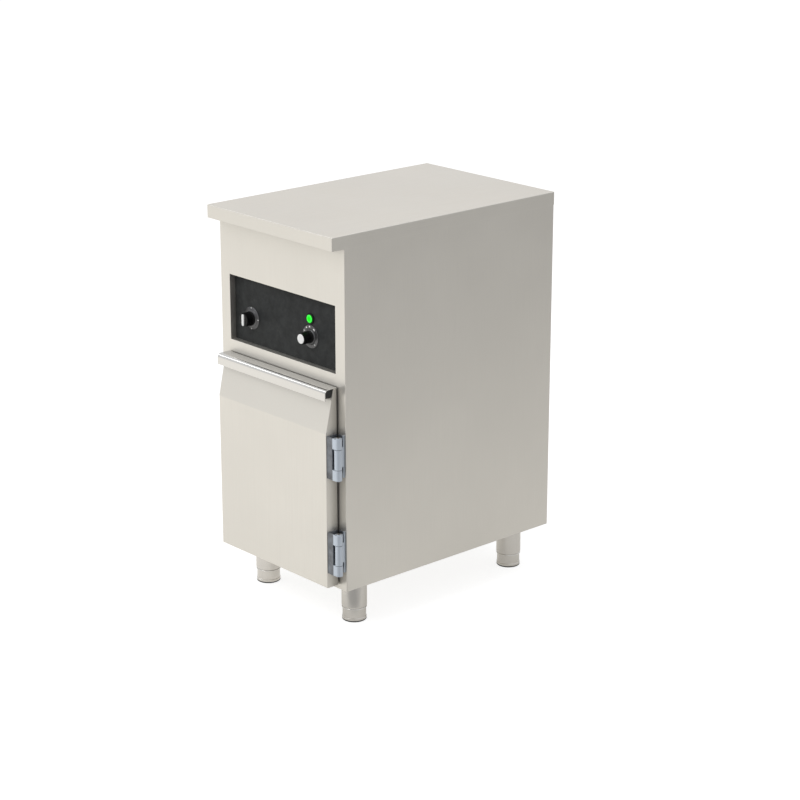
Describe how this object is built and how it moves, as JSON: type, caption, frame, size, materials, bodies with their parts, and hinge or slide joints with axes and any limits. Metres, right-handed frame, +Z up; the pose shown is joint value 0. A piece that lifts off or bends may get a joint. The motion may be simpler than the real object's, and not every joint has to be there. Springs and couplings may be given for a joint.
{
  "type": "heated cupboard counter",
  "caption": "Stainless heated cupboard with a plain worktop, recessed control panel, one hinged door with a folded handle strip, round legs and adjustable feet.",
  "frame": {"origin": "on the floor, under the middle of the worktop", "axes": "+Z up, +X to the right seen from the front, +Y to the back; the door faces -Y"},
  "size_m": [0.4095, 0.6235, 0.85],
  "materials": {
    "satin_steel": "fine satin grain, warm grey",
    "polished_steel": "smooth folded strip, bright satin",
    "leg_steel": "satin tube",
    "liner_steel": "bright inner sheet",
    "hinge_metal": "matt chromed casting",
    "pin_steel": "bright turned",
    "galvanised": "galvanised sheet",
    "core_board": "pressed board, sealed edges",
    "mineral_wool": "matt fibre",
    "seal_rubber": "soft matt",
    "pad_rubber": "matt",
    "panel_black": "fine mottled texture",
    "knob_black": "satin moulded",
    "scale_grey": "satin moulded",
    "mark_white": "smooth moulded",
    "lamp_green": "lit lens",
    "housing_plastic": "moulded",
    "nylon_black": "moulded nylon",
    "washer_nylon": "moulded nylon",
    "wire_sleeve": "silicone sleeve",
    "copper": "drawn tube",
    "element_sheath": "heat-darkened sheath",
    "brass_nut": "turned"
  },
  "bodies": {
    "cabinet": {"back_panel": "satin_steel", "base_panel": "satin_steel", "cabinet_insulation": "mineral_wool", "cable_gland": "nylon_black", "capillary_sensor": "copper", "control_panel": "panel_black", "control_shelf": "galvanised", "control_wiring": "wire_sleeve", "element_brackets": "galvanised", "element_nuts": "brass_nut", "front_frame": "satin_steel", "heat_deflector": "liner_steel", "heater_leads": "wire_sleeve", "heating_element": "element_sheath", "hinge_frame_leaves": "hinge_metal", "left_side_panel": "satin_steel", "leg_plates": "galvanised", "leg_spindles": "galvanised", "leg_tubes": "leg_steel", "liner_back_wall": "liner_steel", "liner_ceiling": "liner_steel", "liner_floor": "liner_steel", "liner_left_wall": "liner_steel", "liner_right_wall": "liner_steel", "overheat_cutout": "galvanised", "pan_runners": "liner_steel", "pilot_lamp_body": "knob_black", "pilot_lamp_lens": "lamp_green", "right_side_panel": "satin_steel", "selector_scale": "scale_grey", "selector_switch": "housing_plastic", "terminal_block": "housing_plastic", "thermostat_body": "housing_plastic", "thermostat_scale": "scale_grey", "wire_shelves": "polished_steel", "worktop": "satin_steel", "worktop_core": "core_board"},
    "door": {"door_front_panel": "satin_steel", "door_inner_panel": "liner_steel", "door_insulation": "mineral_wool", "door_gasket": "seal_rubber", "door_handle": "polished_steel", "hinge_door_leaves": "hinge_metal", "hinge_pins": "pin_steel", "hinge_washers": "washer_nylon", "door_hinge_screws": "pin_steel"},
    "selector": {"selector_knob": "knob_black", "selector_pointer": "mark_white", "selector_spindle": "pin_steel"},
    "thermostat": {"thermostat_knob": "knob_black", "thermostat_cap": "mark_white", "thermostat_spindle": "pin_steel"},
    "foot_front_left": {"foot_front_left": "leg_steel", "foot_pad_front_left": "pad_rubber"},
    "foot_front_right": {"foot_front_right": "leg_steel", "foot_pad_front_right": "pad_rubber"},
    "foot_rear_left": {"foot_rear_left": "leg_steel", "foot_pad_rear_left": "pad_rubber"},
    "foot_rear_right": {"foot_rear_right": "leg_steel", "foot_pad_rear_right": "pad_rubber"}
  },
  "joints": [
    {"name": "door_hinge", "type": "hinge", "parent": "cabinet", "child": "door", "pos_m": [0.2015, -0.301, 0.288], "axis": [0, 0, 1], "range_deg": [0, 180]},
    {"name": "selector_turn", "type": "hinge", "parent": "cabinet", "child": "selector", "pos_m": [-0.1155, -0.275, 0.6133], "axis": [0, 1, 0], "range_deg": [0, 270]},
    {"name": "thermostat_turn", "type": "hinge", "parent": "cabinet", "child": "thermostat", "pos_m": [0.0765, -0.275, 0.6146], "axis": [0, 1, 0], "range_deg": [0, 248]},
    {"name": "foot_front_left_height", "type": "slide", "parent": "cabinet", "child": "foot_front_left", "axis": [0, 0, -1], "range_m": [0, 0.04]},
    {"name": "foot_front_right_height", "type": "slide", "parent": "cabinet", "child": "foot_front_right", "axis": [0, 0, -1], "range_m": [0, 0.04]},
    {"name": "foot_rear_left_height", "type": "slide", "parent": "cabinet", "child": "foot_rear_left", "axis": [0, 0, -1], "range_m": [0, 0.04]},
    {"name": "foot_rear_right_height", "type": "slide", "parent": "cabinet", "child": "foot_rear_right", "axis": [0, 0, -1], "range_m": [0, 0.04]}
  ]
}
